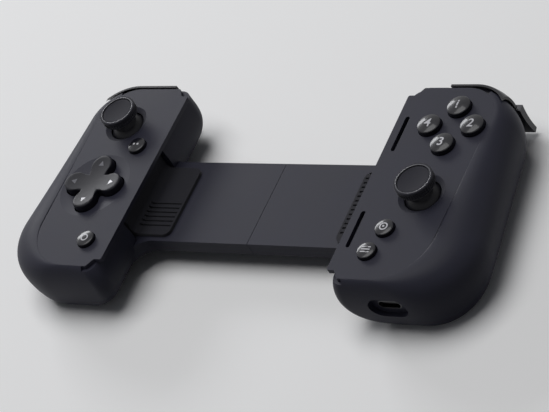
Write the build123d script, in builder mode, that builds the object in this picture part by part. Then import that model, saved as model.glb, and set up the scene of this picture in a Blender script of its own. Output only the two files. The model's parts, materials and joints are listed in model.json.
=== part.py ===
from build123d import *
import math
import os

os.makedirs("parts", exist_ok=True)

# Frame, in millimetres. X runs from the left pod to the right pod, with 0 at the closed seam of
# the bridge. Y runs from the near end to the shoulder end, with 0 halfway along the face lips.
# Z runs up out of the face, with 0 on the surface that the controller rests on.
# Pod pieces are drawn for the right pod. The left pod's are the mirror image of such a drawing.

# Whole controller
face_height = 28.0
wall = 2.0
key_gap = 0.25
seat_gap = 0.3
running_gap = 0.05

# Pod outline at the belly, its widest level, carried on to sharp corners
belly_drop = 11.0
belly_inner_near_x = 52.4
belly_inner_far_x = 51.6
belly_outer_near_x = 108.6
belly_outer_far_x = 97.2
belly_near_y = -48.6
belly_far_y = 46.6
belly_radii = (5.0, 25.0, 17.0, 6.0)

# How far the outline draws in from the belly's to the rim's, level with the face
rim_inner_near_inset = 4.6
rim_inner_far_inset = 0.2
rim_outer_near_inset = 18.4
rim_outer_far_inset = 4.6
rim_near_inset = 3.4
rim_far_inset = 0.8
rim_radii = (3.5, 21.0, 15.0, 5.0)

# How far it draws in to the foot's, the flat that the grip rests on
foot_inner_near_inset = 19.6
foot_inner_far_inset = 20.4
foot_outer_near_inset = 10.6
foot_outer_far_inset = 9.2
foot_near_inset = 6.6
foot_far_inset = 16.6
foot_radii = (8.0, 12.0, 7.0, 8.0)

# Face plate with its lip over the phone bay
plate_thickness = 1.8
plate_overhang = 0.4
plate_outer_inset = 1.0
lip_x = 51.6
lip_half_length = 42.0
lip_root_x = 55.0
plate_inner_x = 57.3
plate_edge_radius = 0.8
slot_x = 55.8
slot_width = 1.8
slot_length = 17.0
slot_y = 22.9

# Phone bay: the recess in the pods' inner walls, and the bridge between them
bay_depth_x = 55.5
bay_near_y = -21.7
bay_far_y = 15.2
deck_drop = 13.4
deck_thickness = 1.5
bridge_near_y = -21.5
bridge_far_y = 18.7
bridge_height = 6.4
near_flare = 11.0
far_flare = 6.0
flare_end_x = 55.5
seam_gap = 0.1
seam_line = 0.3
base_wall = 1.8
base_floor = 1.2

# Sliding carriage and what rides along it
travel = 32.0
carriage_half_length = 48.0
carriage_skin = 0.5
stop_x = 8.0
stop_radius = 1.5
stop_lane = 6.0
spring_lane = 13.0
spring_radius = 1.1
spring_wire = 0.3
spring_anchor_x = 47.0
spring_carriage_x = 13.2
spring_stub = 2.0
cable_lane = -4.0
cable_width = 8.0
cable_thickness = 0.25
cable_fold_x = 18.0
cable_rise_x = 59.3
cable_end_x = 64.0

# Rest pads
left_pad_width = 17.9
right_pad_width = 16.6
pad_near_y = -19.5
pad_far_y = 14.6
left_pad_height = 1.4
right_pad_height = 1.0
pad_leg = 1.4
pad_leg_top_drop = 2.6
pad_corner = 3.0
groove_pitch = 2.2
groove_width = 0.8
groove_depth = 0.6
groove_first_y = -15.0
groove_inset = 0.9
left_grooves = 6
right_grooves = 14

# Face keys
key_radius = 4.65
key_proud = 2.8
key_dome = 0.75
key_edge = 0.5
small_key_radius = 3.7
small_key_proud = 2.0
small_key_dome = 0.45
small_key_edge = 0.35
flange_width = 0.7
flange_thickness = 0.8
flange_gap = 0.1
stem_radius = 1.3
diamond_x = 76.5
diamond_y = 26.3
diamond_half = 9.1
options_x = 68.4
options_y = -22.6
menu_x = 65.3
menu_y = -33.3
share_x = 62.9
share_y = 14.8
capture_x = 63.2
capture_y = -33.1

# Circuit boards and their switches
board_drop = 9.0
board_thickness = 1.2
board_wall_gap = 2.5
board_outer_x = 90.0
board_near_y = -43.5
board_far_y = 34.0
board_ear_reach = 3.3
board_ear_side_gap = 1.7
board_ear_near_y = 22.0
board_ear_far_y = 40.4
switch_size = 5.2
switch_height = 2.0
switch_well_radius = 1.8
switch_well_depth = 1.6
stem_clearance = 0.2

# Thumb sticks
right_stick_x = 76.5
right_stick_y = -5.5
left_stick_x = 75.2
left_stick_y = 27.0
stick_pivot_drop = 6.5
stick_top = 8.3
cap_radius = 7.65
cap_height = 4.1
cap_dish = 0.9
cap_rim = 0.9
cap_skin = 1.5
well_radius = 9.2
well_hole_radius = 7.3
well_angle = 116.0
dome_radius = 8.4
dome_wall = 0.8
dome_edge_angle = 76.0
neck_base_radius = 5.2
neck_top_radius = 3.4
hub_radius = 2.8
shaft_radius = 1.1
foot_disc_radius = 2.2
foot_disc_height = 1.0
foot_disc_drop = 3.6
gimbal_outer_radius = 5.0
gimbal_inner_radius = 3.7
gimbal_height = 2.6
gimbal_pin_radius = 0.7
gimbal_pin_end = 6.6
pivot_block_size = 4.4
pivot_block_height = 3.2
turret_inner_radius = 5.6
turret_outer_radius = 6.9
turret_rise = 1.8
module_size = 15.0
module_top_drop = 2.2
module_bottom_drop = 6.2
module_floor = 1.0

# Direction pad
dpad_x = 74.0
dpad_y = -5.3
dpad_half = 13.4
dpad_lobe_radius = 4.7
dpad_arm_share = 0.86
dpad_proud = 2.9
dpad_dish = 1.2
dpad_gap = 0.6
dpad_skirt = 1.0
dpad_skirt_thickness = 0.9
dish_radius = 15.6
dish_depth = 1.2
dish_backing = 1.5
dish_rim = 0.8
ball_radius = 2.6
ball_drop = 5.4
ball_gap = 0.3
pedestal_radius = 3.8
pedestal_drop = 1.0
dpad_switch_reach = 8.6

# Shoulder keys
bumper_left_inner_x = 60.6
bumper_right_inner_x = 67.7
bumper_outer_x = 92.4
bumper_proud = 1.9
bumper_near_y = 36.0
bumper_top_drop = 0.4
bumper_bottom_drop = 10.3
bumper_block_near_y = 43.2
bumper_pocket_y = 42.6
bumper_pocket_outer_x = 85.8
bumper_wall_near_y = 41.0
bumper_travel = 0.5
wrap_gap = 0.9
bumper_stem_radius = 1.2
bumper_stem_xs = (71.0, 82.5)
bumper_stem_drop = 6.0
bumper_stem_end_y = 39.9
shoulder_switch_size = 5.2
shoulder_switch_depth = 3.2
shoulder_switch_height = 4.0
trigger_inner_x = 63.0
trigger_outer_x = 93.6
trigger_arm_outer_x = 88.4
trigger_arm = 2.6
trigger_pocket_drop = 10.4
trigger_pin_y = 39.6
trigger_pin_drop = 14.6
trigger_pin_radius = 1.0
trigger_pin_grip = 1.5
trigger_barrel_radius = 2.3
trigger_pocket_y = 36.9

# Trigger plate seen from the side, as drops from the face along its outer and inner faces
trigger_outer_face = ((47.4, 11.2), (47.3, 18.0), (48.6, 25.0))
trigger_inner_face = ((46.6, 25.7), (44.9, 19.0), (44.4, 11.2))

# Screws, with the height of each head's seat
screw_places = ((64.0, -41.2, 6.0), (80.5, -35.0, 4.0), (86.0, 14.0, 4.0), (56.6, 37.4, 11.0))
screw_radius = 1.0
screw_hole_gap = 0.1
screw_head_radius = 1.9
screw_head_height = 1.5
screw_tip_drop = 4.0
boss_radius = 2.6
tower_radius = 3.2

# Charge port and phone plug
recess_x = 74.4
recess_drop = 12.6
recess_width = 15.8
recess_height = 9.8
recess_floor_y = -46.0
recess_backing = 2.1
port_x = 73.8
port_drop = 13.4
port_width = 8.94
port_height = 3.2
port_wall = 0.35
port_length = 7.4
port_back = 1.5
tongue_thickness = 0.7
tongue_width = 6.7
tongue_setback = 0.9
plug_width = 8.25
plug_height = 2.4
plug_wall = 0.35
plug_depth = 5.0
plug_reach = 6.5
plug_y = 0.0
plug_rise = 5.7
plug_sunk = 1.5
mount_width = 13.0
mount_height = 6.0
mount_depth = 3.1

# Levels and lines worked out from the sizes above
rim_outer_near_x = belly_outer_near_x - rim_outer_near_inset
rim_outer_far_x = belly_outer_far_x - rim_outer_far_inset
rim_near_y = belly_near_y + rim_near_inset
rim_far_y = belly_far_y - rim_far_inset
bridge_end_x = bay_depth_x + wall
plug_tip_x = bay_depth_x - plug_reach
mount_inner_x = bay_depth_x + mount_depth
board_inner_x = bridge_end_x + board_wall_gap
board_ear_x = bridge_end_x - board_ear_reach
board_ear_side_x = bridge_end_x + board_ear_side_gap
belly_height = face_height - belly_drop
plate_bottom = face_height - plate_thickness
deck_top = face_height - deck_drop
deck_bottom = deck_top - deck_thickness
base_bottom = deck_top - bridge_height
floor_top = base_bottom + base_floor
bridge_mid_y = (bridge_near_y + bridge_far_y) / 2
board_top = face_height - board_drop
board_bottom = board_top - board_thickness
stick_pivot = face_height - stick_pivot_drop
ball_height = face_height - ball_drop
carriage_bottom = floor_top + seat_gap
carriage_top = deck_bottom - seat_gap
groove_top = carriage_top - carriage_skin
trigger_pocket_top = face_height - trigger_pocket_drop
trigger_pin_height = face_height - trigger_pin_drop
bumper_top = face_height - bumper_top_drop
bumper_bottom = face_height - bumper_bottom_drop
bumper_stem_height = face_height - bumper_stem_drop
port_level = face_height - port_drop
plug_level = deck_top + plug_rise
screw_tip = face_height - screw_tip_drop
stick_places = {"left": (left_stick_x, left_stick_y), "right": (right_stick_x, right_stick_y)}
small_keys = {
    "left": {"share_button": (share_x, share_y), "capture_button": (capture_x, capture_y)},
    "right": {"options_button": (options_x, options_y), "menu_button": (menu_x, menu_y)},
}
large_keys = {
    "left": {},
    "right": {
        "inner_button": (diamond_x - diamond_half, diamond_y),
        "outer_button": (diamond_x + diamond_half, diamond_y),
        "far_button": (diamond_x, diamond_y + diamond_half),
        "near_button": (diamond_x, diamond_y - diamond_half),
    },
}
dpad_switches = [
    (dpad_x + dpad_switch_reach * step_x, dpad_y + dpad_switch_reach * step_y)
    for step_x, step_y in ((1, 0), (-1, 0), (0, 1), (0, -1))
]
upright = (Align.CENTER, Align.CENTER, Align.MIN)
along_x = (0, 90, 0)
along_y = (-90, 0, 0)


def save(shape, name):
    shape.label = name
    export_step(shape, f"parts/{name}.step")


def save_for(side, shape, name):
    placed = shape if side == "right" else mirror(shape, about=Plane.YZ)
    save(placed, name)


def block(x_range, y_range, z_range):
    with BuildPart() as solid:
        with Locations((sum(x_range) / 2, sum(y_range) / 2, sum(z_range) / 2)):
            Box(x_range[1] - x_range[0], y_range[1] - y_range[0], z_range[1] - z_range[0])
    return solid.part


def rod_x(radius, start, end, y, z):
    with BuildPart() as rod:
        with Locations(Location((start, y, z), along_x)):
            Cylinder(radius, end - start, align=upright)
    return rod.part


def rod_y(radius, start, end, x, z):
    with BuildPart() as rod:
        with Locations(Location((x, start, z), along_y)):
            Cylinder(radius, end - start, align=upright)
    return rod.part


def rod_z(radius, start, end, x, y):
    with BuildPart() as rod:
        with Locations((x, y, start)):
            Cylinder(radius, end - start, align=upright)
    return rod.part


# Pod form: outlines at several levels that follow quarter ellipses from belly to foot and rim
def corners(inner_near, inner_far, outer_near, outer_far, near, far):
    return ((inner_near, near), (outer_near, near), (outer_far, far), (inner_far, far))


belly_corners = corners(
    belly_inner_near_x, belly_inner_far_x, belly_outer_near_x, belly_outer_far_x, belly_near_y, belly_far_y
)
rim_corners = corners(
    belly_inner_near_x + rim_inner_near_inset,
    belly_inner_far_x + rim_inner_far_inset,
    rim_outer_near_x,
    rim_outer_far_x,
    rim_near_y,
    rim_far_y,
)
foot_corners = corners(
    belly_inner_near_x + foot_inner_near_inset,
    belly_inner_far_x + foot_inner_far_inset,
    belly_outer_near_x - foot_outer_near_inset,
    belly_outer_far_x - foot_outer_far_inset,
    belly_near_y + foot_near_inset,
    belly_far_y - foot_far_inset,
)


def between(start, end, share):
    return start + (end - start) * share


def blended(start, end, share):
    return [
        (between(a[0], b[0], share), between(a[1], b[1], share)) for a, b in zip(start, end)
    ]


def outline(points, radii, inset):
    with BuildSketch() as sketch:
        with BuildLine():
            Polyline(*points, close=True)
        make_face()
        for point, radius in zip(points, radii):
            fillet(sketch.vertices().sort_by_distance(Vector(*point))[0], radius=radius)
        if inset != 0:
            offset(amount=-inset, mode=Mode.REPLACE)
    return sketch.sketch


def pod_form(inset):
    foot_angles = (90, 68, 46, 24)
    rim_angles = (0, 30, 60, 90)
    levels = [(foot_corners, foot_radii, inset - belly_height, angle) for angle in foot_angles]
    levels += [(rim_corners, rim_radii, belly_drop, angle) for angle in rim_angles]
    with BuildPart() as form:
        for end_corners, end_radii, reach, angle in levels:
            share = 1 - math.cos(math.radians(angle))
            height = belly_height + reach * math.sin(math.radians(angle))
            radii = [between(a, b, share) for a, b in zip(belly_radii, end_radii)]
            with BuildSketch(Plane.XY.offset(height)):
                add(outline(blended(belly_corners, end_corners, share), radii, inset))
        loft()
    return form.part


pod = pod_form(0)
pod_inside = pod_form(wall)

# Space around a pod, for blocks that are to run out through its surface
clear_x = belly_outer_near_x + wall
clear_y = belly_far_y + wall
clear_z = face_height + wall

# Face plate outline, with the lip that overhangs the phone bay
plate_near_y = rim_near_y - plate_overhang
plate_far_y = rim_far_y
plate_points = (
    (lip_x, -lip_half_length),
    (lip_root_x, -lip_half_length),
    (plate_inner_x, plate_near_y),
    (rim_outer_near_x - plate_outer_inset, plate_near_y),
    (rim_outer_far_x - plate_outer_inset, plate_far_y),
    (plate_inner_x, plate_far_y),
    (lip_root_x, lip_half_length),
    (lip_x, lip_half_length),
)
plate_radii = [plate_edge_radius] * len(plate_points)
plate_radii[3] = rim_radii[1]
plate_radii[4] = rim_radii[2]


def plate_slab(top):
    with BuildPart() as slab:
        with BuildSketch(Plane.XY.offset(plate_bottom)):
            add(outline(plate_points, plate_radii, 0))
        extrude(amount=top - plate_bottom)
    return slab.part


def dpad_sketch(grow):
    lobe_reach = dpad_half - dpad_lobe_radius
    arm_width = 2 * (dpad_lobe_radius * dpad_arm_share + grow)
    with BuildSketch() as sketch:
        with PolarLocations(lobe_reach, 4):
            Circle(dpad_lobe_radius + grow)
        Rectangle(2 * lobe_reach, arm_width)
        Rectangle(arm_width, 2 * lobe_reach)
    return sketch.sketch


def front_shell(side):
    with BuildPart() as shell:
        add(plate_slab(face_height))
        for x, y, seat in screw_places:
            add(rod_z(boss_radius, board_top, plate_bottom, x, y))
            add(rod_z(screw_radius, board_top, screw_tip, x, y), mode=Mode.SUBTRACT)
        with Locations((*stick_places[side], face_height)):
            CounterSinkHole(well_hole_radius, well_radius, counter_sink_angle=well_angle)
        if side == "right":
            with BuildSketch(Plane.XY.offset(face_height)):
                with Locations((slot_x, slot_y), (slot_x, -slot_y)):
                    SlotOverall(slot_length, slot_width, rotation=90)
            extrude(amount=-plate_thickness, mode=Mode.SUBTRACT)
        else:
            add(rod_z(dish_radius + dish_rim, plate_bottom - dish_backing, plate_bottom, dpad_x, dpad_y))
            dish_sphere = (dish_radius**2 + dish_depth**2) / (2 * dish_depth)
            with Locations((dpad_x, dpad_y, face_height - dish_depth + dish_sphere)):
                Sphere(dish_sphere, mode=Mode.SUBTRACT)
            with BuildSketch(Plane.XY.offset(face_height)):
                with Locations((dpad_x, dpad_y)):
                    add(dpad_sketch(dpad_gap))
            extrude(amount=-plate_thickness - dish_backing, mode=Mode.SUBTRACT)
        for x, y in small_keys[side].values():
            add(rod_z(small_key_radius + key_gap, plate_bottom, face_height, x, y), mode=Mode.SUBTRACT)
        for x, y in large_keys[side].values():
            add(rod_z(key_radius + key_gap, plate_bottom, face_height, x, y), mode=Mode.SUBTRACT)
    return shell.part


def bumper_inner_x(side):
    return bumper_left_inner_x if side == "left" else bumper_right_inner_x


# Insides of a rear shell: the hollow, less the walls that close off the bay and the key pockets
def hollow(side):
    pocket_x = bumper_inner_x(side) - seat_gap - wall
    with BuildPart() as space:
        add(pod_inside)
        add(
            block(
                (0, bridge_end_x),
                (bay_near_y - wall, bridge_far_y + wall),
                (base_bottom - wall, clear_z),
            ),
            mode=Mode.SUBTRACT,
        )
        add(
            block(
                (trigger_inner_x - seat_gap - wall, clear_x),
                (trigger_pocket_y - wall, clear_y),
                (0, board_top),
            ),
            mode=Mode.SUBTRACT,
        )
        add(block((pocket_x, clear_x), (bumper_wall_near_y, clear_y), (0, clear_z)), mode=Mode.SUBTRACT)
        for x, y, seat in screw_places:
            add(rod_z(tower_radius, 0, board_bottom, x, y), mode=Mode.SUBTRACT)
        if side == "right":
            add(
                block(
                    (recess_x - recess_width / 2 - wall, recess_x + recess_width / 2 + wall),
                    (belly_near_y, recess_floor_y + recess_backing),
                    (wall, face_height - recess_drop + recess_height / 2 + wall),
                ),
                mode=Mode.SUBTRACT,
            )
    return space.part


def rear_shell(side):
    corner_x = (0, plate_inner_x + wall)
    with BuildPart() as shell:
        add(pod)
        add(hollow(side), mode=Mode.SUBTRACT)
        add(plate_slab(clear_z), mode=Mode.SUBTRACT)
        add(block(corner_x, (-clear_y - wall, -lip_half_length), (plate_bottom, clear_z)), mode=Mode.SUBTRACT)
        add(block(corner_x, (lip_half_length, clear_y), (plate_bottom, clear_z)), mode=Mode.SUBTRACT)
        add(block((0, bay_depth_x), (bay_near_y, bay_far_y), (deck_top, plate_bottom)), mode=Mode.SUBTRACT)
        add(
            block((0, bridge_end_x), (bridge_near_y, bridge_far_y), (base_bottom, deck_top)),
            mode=Mode.SUBTRACT,
        )
        add(
            block(
                (trigger_inner_x - seat_gap, trigger_arm_outer_x + seat_gap),
                (trigger_pocket_y, clear_y),
                (-wall, trigger_pocket_top),
            ),
            mode=Mode.SUBTRACT,
        )
        add(
            block(
                (bumper_inner_x(side) - seat_gap, bumper_pocket_outer_x),
                (bumper_pocket_y, clear_y),
                (trigger_pocket_top, clear_z),
            ),
            mode=Mode.SUBTRACT,
        )
        for x in bumper_stem_xs:
            add(
                rod_y(
                    bumper_stem_radius + running_gap,
                    bumper_wall_near_y,
                    bumper_pocket_y,
                    x,
                    bumper_stem_height,
                ),
                mode=Mode.SUBTRACT,
            )
        add(trigger_pin, mode=Mode.SUBTRACT)
        for x, y, seat in screw_places:
            add(rod_z(screw_radius + screw_hole_gap, 0, board_bottom, x, y), mode=Mode.SUBTRACT)
            add(rod_z(screw_head_radius + screw_hole_gap, 0, seat, x, y), mode=Mode.SUBTRACT)
        if side == "right":
            add(plug_mount, mode=Mode.SUBTRACT)
            with BuildSketch(Plane.XZ.offset(wall - belly_near_y)):
                with Locations((recess_x, face_height - recess_drop)):
                    SlotOverall(recess_width, recess_height)
            extrude(amount=belly_near_y - wall - recess_floor_y, mode=Mode.SUBTRACT)
            with BuildSketch(Plane.XZ.offset(-recess_floor_y)):
                with Locations((port_x, port_level)):
                    SlotOverall(port_width + 2 * port_wall, port_height + 2 * port_wall)
            extrude(amount=-recess_backing, mode=Mode.SUBTRACT)
    return shell.part


# Bridge halves, flared where they meet the pod walls, with a tongue inside each pod
def bridge_slab(near, far, bottom, top):
    with BuildPart() as slab:
        with BuildSketch(Plane.XY.offset(bottom)):
            with BuildLine():
                near_edge = Line((flare_end_x - near_flare, near), (seam_gap, near))
                seam = Line(near_edge @ 1, (seam_gap, far))
                far_edge = Line(seam @ 1, (flare_end_x - far_flare, far))
                far_arc = RadiusArc(far_edge @ 1, (flare_end_x, far + far_flare), -far_flare)
                inside = Line(far_arc @ 1, (flare_end_x, near - near_flare))
                RadiusArc(inside @ 1, near_edge @ 0, -near_flare)
            make_face()
        extrude(amount=top - bottom)
        add(pod, mode=Mode.SUBTRACT)
        add(block((belly_inner_far_x, bridge_end_x), (near, far), (bottom, top)))
    return slab.part


bridge_deck = bridge_slab(bridge_near_y, bridge_far_y, deck_bottom, deck_top)

base_near_y = bridge_near_y + seam_line
base_far_y = bridge_far_y - seam_line
channel_near_y = base_near_y + base_wall
channel_far_y = base_far_y - base_wall
spring_y = bridge_mid_y + spring_lane
stop_y = bridge_mid_y + stop_lane
cable_y = bridge_mid_y + cable_lane
spring_level = carriage_bottom + (groove_top - carriage_bottom) / 2
stub_radius = spring_radius - spring_wire - key_gap

with BuildPart() as bridge_base:
    add(bridge_slab(base_near_y, base_far_y, base_bottom, deck_bottom))
    add(
        block((0, bridge_end_x), (channel_near_y, channel_far_y), (floor_top, deck_bottom)),
        mode=Mode.SUBTRACT,
    )
    add(rod_z(stop_radius, floor_top, groove_top - seat_gap, stop_x, stop_y))
    add(
        block(
            (spring_anchor_x, spring_anchor_x + spring_stub / 2),
            (spring_y - spring_radius, spring_y + spring_radius),
            (floor_top, groove_top - seat_gap),
        )
    )
    add(rod_x(stub_radius, spring_anchor_x - spring_stub, spring_anchor_x, spring_y, spring_level))

spring_half_groove = spring_radius + seat_gap + running_gap
stop_half_groove = stop_radius + seat_gap
cable_half_groove = cable_width / 2 + 2 * seat_gap

with BuildPart() as slide_plate:
    add(
        block(
            (-carriage_half_length, carriage_half_length),
            (channel_near_y + seat_gap, channel_far_y - seat_gap),
            (carriage_bottom, carriage_top),
        )
    )
    add(
        block(
            (-carriage_half_length, carriage_half_length),
            (cable_y - cable_half_groove, cable_y + cable_half_groove),
            (carriage_bottom, groove_top),
        ),
        mode=Mode.SUBTRACT,
    )
    for hand in (-1, 1):
        spring_ends = sorted((hand * spring_carriage_x, hand * carriage_half_length))
        stop_ends = sorted((hand * (stop_x - stop_half_groove), hand * (stop_x + travel + stop_half_groove)))
        stub_ends = sorted((hand * spring_carriage_x, hand * (spring_carriage_x + spring_stub)))
        add(
            block(
                spring_ends,
                (spring_y - spring_half_groove, spring_y + spring_half_groove),
                (carriage_bottom, groove_top),
            ),
            mode=Mode.SUBTRACT,
        )
        add(
            block(
                stop_ends,
                (stop_y - stop_half_groove, stop_y + stop_half_groove),
                (carriage_bottom, groove_top),
            ),
            mode=Mode.SUBTRACT,
        )
        add(rod_x(stub_radius, *stub_ends, spring_y, spring_level))

with BuildPart() as bridge_spring:
    add(rod_x(spring_radius, spring_carriage_x, spring_anchor_x - seat_gap, spring_y, spring_level))
    add(
        rod_x(spring_radius - spring_wire, spring_carriage_x, spring_anchor_x, spring_y, spring_level),
        mode=Mode.SUBTRACT,
    )

cable_levels = [
    between(carriage_bottom + seat_gap, groove_top - seat_gap, share) for share in (0, 0.5, 1)
]
cable_top = board_bottom - cable_thickness / 2
cable_path = (
    (-cable_end_x, cable_top),
    (-cable_rise_x, cable_top),
    (-cable_rise_x, cable_levels[0]),
    (cable_fold_x, cable_levels[0]),
    (cable_fold_x, cable_levels[1]),
    (-cable_fold_x, cable_levels[1]),
    (-cable_fold_x, cable_levels[2]),
    (cable_rise_x, cable_levels[2]),
    (cable_rise_x, cable_top),
    (cable_end_x, cable_top),
)

with BuildPart() as flex_cable:
    with BuildSketch(Plane.XZ.offset(-cable_y)):
        with BuildLine():
            Polyline(*cable_path)
        trace(line_width=cable_thickness)
    extrude(amount=cable_width / 2, both=True)


# Rest pads: a ribbed sole on the deck with a leg up the back of the bay
def rest_pad(side):
    inner_x = bay_depth_x - (left_pad_width if side == "left" else right_pad_width)
    sole_top = deck_top + (left_pad_height if side == "left" else right_pad_height)
    grooves = left_grooves if side == "left" else right_grooves
    leg_top = face_height - pad_leg_top_drop
    with BuildPart() as pad:
        with BuildSketch(Plane.XY.offset(deck_top)):
            with BuildLine():
                Polyline(
                    (inner_x, pad_near_y),
                    (bay_depth_x, pad_near_y),
                    (bay_depth_x, pad_far_y),
                    (inner_x, pad_far_y),
                    close=True,
                )
            make_face()
        extrude(amount=leg_top - deck_top)
        inner_edges = pad.edges().filter_by(Axis.Z).group_by(Axis.X)[0]
        fillet(inner_edges, radius=pad_corner)
        with BuildSketch(Plane.XZ.offset(-pad_near_y + wall)) as cove:
            with BuildLine():
                Polyline(
                    (0, sole_top),
                    (bay_depth_x - pad_leg, sole_top),
                    (bay_depth_x - pad_leg, clear_z),
                    (0, clear_z),
                    close=True,
                )
            make_face()
            corner = cove.vertices().sort_by_distance(Vector(bay_depth_x - pad_leg, sole_top))[0]
            fillet(corner, radius=pad_corner)
        extrude(amount=-(pad_far_y - pad_near_y + 2 * wall), mode=Mode.SUBTRACT)
        for index in range(grooves):
            groove_y = groove_first_y + groove_pitch * index
            add(
                block(
                    (inner_x + groove_inset, bay_depth_x - pad_leg - groove_inset),
                    (groove_y - groove_width / 2, groove_y + groove_width / 2),
                    (sole_top - groove_depth, sole_top + pad_corner),
                ),
                mode=Mode.SUBTRACT,
            )
        if side == "right":
            add(plug_mount, mode=Mode.SUBTRACT)
    return pad.part


# Phone plug on its mount, and the charge port
mount_face_x = bay_depth_x - pad_leg

with BuildPart() as mount:
    with BuildSketch(Plane.YZ.offset(mount_face_x)):
        with Locations((plug_y, plug_level)):
            SlotOverall(mount_width, mount_height)
    extrude(amount=mount_inner_x - mount_face_x)
    with BuildSketch(Plane.YZ.offset(mount_face_x)):
        with Locations((plug_y, plug_level)):
            SlotOverall(plug_width, plug_height)
    extrude(amount=plug_sunk, mode=Mode.SUBTRACT)

with BuildPart() as mount_outside:
    with BuildSketch(Plane.YZ.offset(mount_face_x)):
        with Locations((plug_y, plug_level)):
            SlotOverall(mount_width, mount_height)
    extrude(amount=mount_inner_x - mount_face_x)

plug_mount = mount_outside.part

with BuildPart() as phone_plug:
    with BuildSketch(Plane.YZ.offset(plug_tip_x)):
        with Locations((plug_y, plug_level)):
            SlotOverall(plug_width, plug_height)
    extrude(amount=mount_face_x + plug_sunk - plug_tip_x)
    with BuildSketch(Plane.YZ.offset(plug_tip_x)):
        with Locations((plug_y, plug_level)):
            SlotOverall(plug_width - 2 * plug_wall, plug_height - 2 * plug_wall)
    extrude(amount=plug_depth, mode=Mode.SUBTRACT)

with BuildPart() as port_shell:
    with BuildSketch(Plane.XZ.offset(-recess_floor_y)):
        with Locations((port_x, port_level)):
            SlotOverall(port_width + 2 * port_wall, port_height + 2 * port_wall)
            SlotOverall(port_width, port_height, mode=Mode.SUBTRACT)
    extrude(amount=-port_length)

with BuildPart() as port_tongue:
    with BuildSketch(Plane.XZ.offset(-recess_floor_y - port_length)):
        with Locations((port_x, port_level)):
            SlotOverall(port_width, port_height)
    extrude(amount=port_back)
    add(
        block(
            (port_x - tongue_width / 2, port_x + tongue_width / 2),
            (recess_floor_y + tongue_setback, recess_floor_y + port_length),
            (port_level - tongue_thickness / 2, port_level + tongue_thickness / 2),
        )
    )


# Boards and switches
def circuit_board(side):
    board_points = (
        (board_inner_x, board_near_y),
        (board_outer_x, board_near_y),
        (board_outer_x, board_far_y),
        (board_ear_side_x, board_far_y),
        (board_ear_side_x, board_ear_far_y),
        (board_ear_x, board_ear_far_y),
        (board_ear_x, board_ear_near_y),
        (board_inner_x, board_ear_near_y),
    )
    with BuildPart() as board:
        with BuildSketch(Plane.XY.offset(board_bottom)):
            with BuildLine():
                Polyline(*board_points, close=True)
            make_face()
            with Locations(stick_places[side]):
                Rectangle(module_size, module_size, mode=Mode.SUBTRACT)
            with Locations(*[(x, y) for x, y, seat in screw_places]):
                Circle(screw_radius + screw_hole_gap, mode=Mode.SUBTRACT)
        extrude(amount=board_thickness)
    return board.part


def switches(side):
    places = [*small_keys[side].values(), *large_keys[side].values()]
    if side == "left":
        places += dpad_switches
    with BuildPart() as cans:
        with BuildSketch(Plane.XY.offset(board_top)):
            with Locations(*places):
                Rectangle(switch_size, switch_size)
        extrude(amount=switch_height)
        with BuildSketch(Plane.XY.offset(board_top + switch_height)):
            with Locations(*places):
                Circle(switch_well_radius)
        extrude(amount=-switch_well_depth, mode=Mode.SUBTRACT)
        shoulder_switch_y = bumper_wall_near_y - shoulder_switch_depth / 2
        with Locations((bumper_stem_xs[1], shoulder_switch_y, bumper_stem_height)):
            Box(shoulder_switch_size, shoulder_switch_depth, shoulder_switch_height)
        add(
            rod_y(
                bumper_stem_radius + seat_gap,
                bumper_stem_end_y - 2 * bumper_travel,
                bumper_wall_near_y,
                bumper_stem_xs[1],
                bumper_stem_height,
            ),
            mode=Mode.SUBTRACT,
        )
    return cans.part


def screws():
    with BuildPart() as screw_set:
        for x, y, seat in screw_places:
            add(rod_z(screw_head_radius, seat - screw_head_height, seat, x, y))
            add(rod_z(screw_radius, seat, screw_tip, x, y))
    return screw_set.part


# Keys that are pressed straight down
def key(radius, proud, dome, edge, x, y):
    stem_bottom = board_top + switch_height + stem_clearance
    flange_top = plate_bottom - flange_gap
    flange_bottom = flange_top - flange_thickness
    key_top = face_height + proud
    dome_sphere = (radius**2 + dome**2) / (2 * dome)
    dome_angle = math.degrees(math.asin(radius / dome_sphere))
    with BuildPart() as cap:
        with BuildSketch(Plane.XZ) as half:
            with BuildLine():
                crown = JernArc((0, key_top), (1, 0), dome_sphere, -dome_angle)
                Polyline(crown @ 1, (radius, flange_bottom), (0, flange_bottom), (0, key_top))
            make_face()
            fillet(half.vertices().sort_by_distance(Vector(radius, key_top - dome))[0], radius=edge)
        revolve(axis=Axis.Z)
        add(rod_z(radius + flange_width, flange_bottom, flange_top, 0, 0))
        add(rod_z(stem_radius, stem_bottom, flange_top, 0, 0))
    return Pos(x, y, 0) * cap.part


# Thumb sticks, turning about one point under the face
def stick_module(x, y):
    top = stick_pivot - module_top_drop
    bottom = stick_pivot - module_bottom_drop
    with BuildPart() as module:
        add(
            block(
                (x - module_size / 2, x + module_size / 2),
                (y - module_size / 2, y + module_size / 2),
                (bottom, top),
            )
        )
        add(rod_z(turret_outer_radius, top, stick_pivot + turret_rise, x, y))
        add(
            rod_z(turret_inner_radius, bottom + module_floor, stick_pivot + turret_rise, x, y),
            mode=Mode.SUBTRACT,
        )
        add(
            rod_x(
                gimbal_pin_radius + running_gap,
                x - turret_outer_radius,
                x + turret_outer_radius,
                y,
                stick_pivot,
            ),
            mode=Mode.SUBTRACT,
        )
    return module.part


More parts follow.
